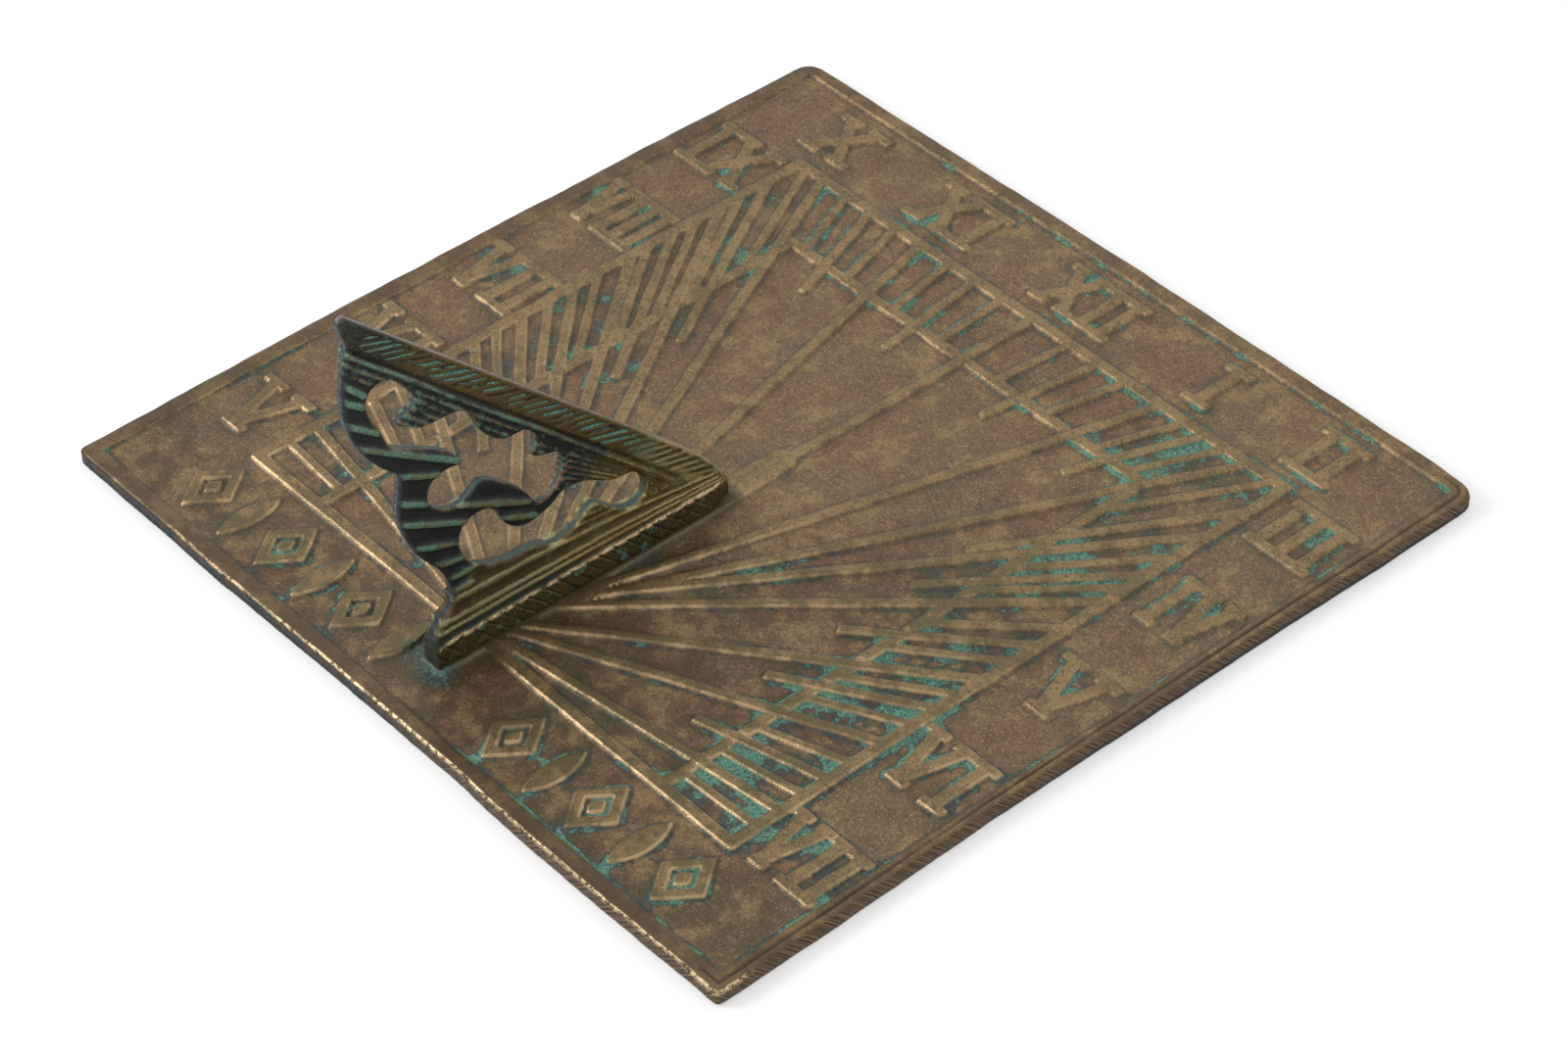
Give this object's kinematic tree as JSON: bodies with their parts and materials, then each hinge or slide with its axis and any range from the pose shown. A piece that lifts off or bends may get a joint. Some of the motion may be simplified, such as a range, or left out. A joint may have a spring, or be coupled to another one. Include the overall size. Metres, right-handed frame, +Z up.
{
  "type": "horizontal sundial",
  "caption": "Square cast brass garden sundial with raised Roman hour numerals, hour lines and a pierced scrolled gnomon fixed by countersunk screws.",
  "frame": {"origin": "middle of the dial plate's underside", "axes": "+Z up, out of the dial face; +Y along the noon line towards the numeral XII; +X towards the afternoon hours; the gnomon stands in the YZ plane with its peak over the -Y edge"},
  "size_m": [0.254, 0.2542, 0.1214],
  "materials": {
    "dial_brass": "weathered brown cast brass with green patina, filed raised work",
    "gnomon_brass": "weathered olive cast brass with green patina, hatched bands",
    "screw_brass": "dull turned brass"
  },
  "bodies": {
    "root": {"dial_plate": "dial_brass", "gnomon": "gnomon_brass", "heel_screw": "screw_brass", "toe_screw": "screw_brass"}
  },
  "joints": []
}
